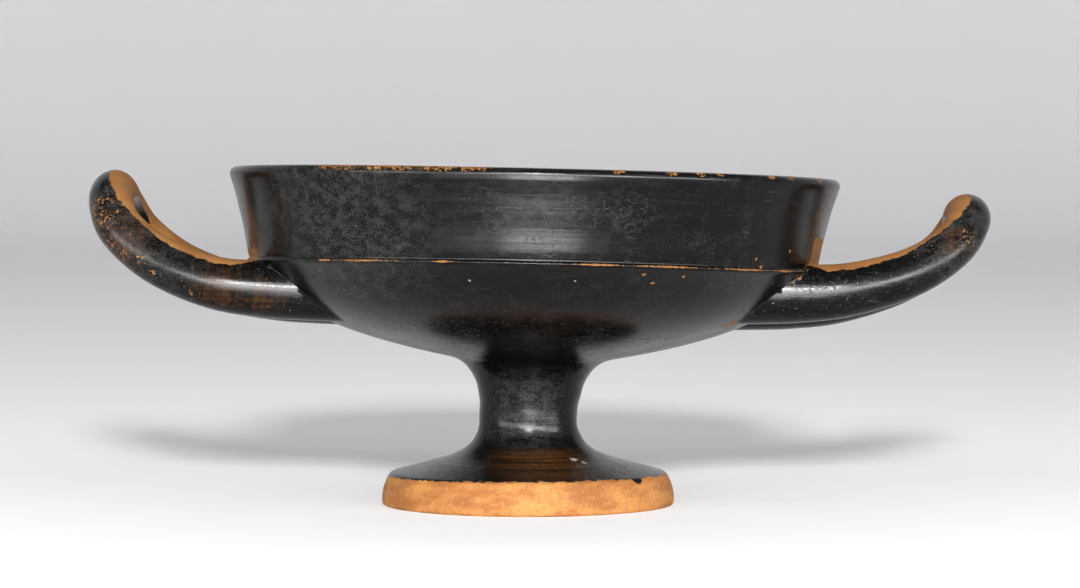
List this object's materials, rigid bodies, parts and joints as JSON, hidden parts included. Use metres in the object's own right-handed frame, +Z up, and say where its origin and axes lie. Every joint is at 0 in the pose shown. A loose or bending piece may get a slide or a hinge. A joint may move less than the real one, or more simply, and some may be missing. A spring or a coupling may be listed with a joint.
{
  "type": "kylix cup",
  "caption": "Shallow stemmed drinking cup of fired clay with a tall flaring lip, a disc foot and two upswept horseshoe handles, black gloss with bare orange clay at the foot edge.",
  "frame": {"origin": "centre of the whole cup's bounding box in plan, on the surface the cup stands on; the axis of the foot stands 3 mm towards -X and 1.8 mm towards -Y of it, because the handles differ and the bowl leans", "axes": "+X runs across the two handles, towards the handle that reaches farther from the foot; +Z is up through the bowl's mouth; -Y is the side the picture shows"},
  "size_m": [0.2333, 0.1584, 0.0886],
  "materials": {
    "glazed_clay": "black gloss over orange clay, worn; bare orange clay on the foot's edge, inside the handles and between their roots"
  },
  "bodies": {
    "root": {"kylix": "glazed_clay"}
  },
  "joints": []
}
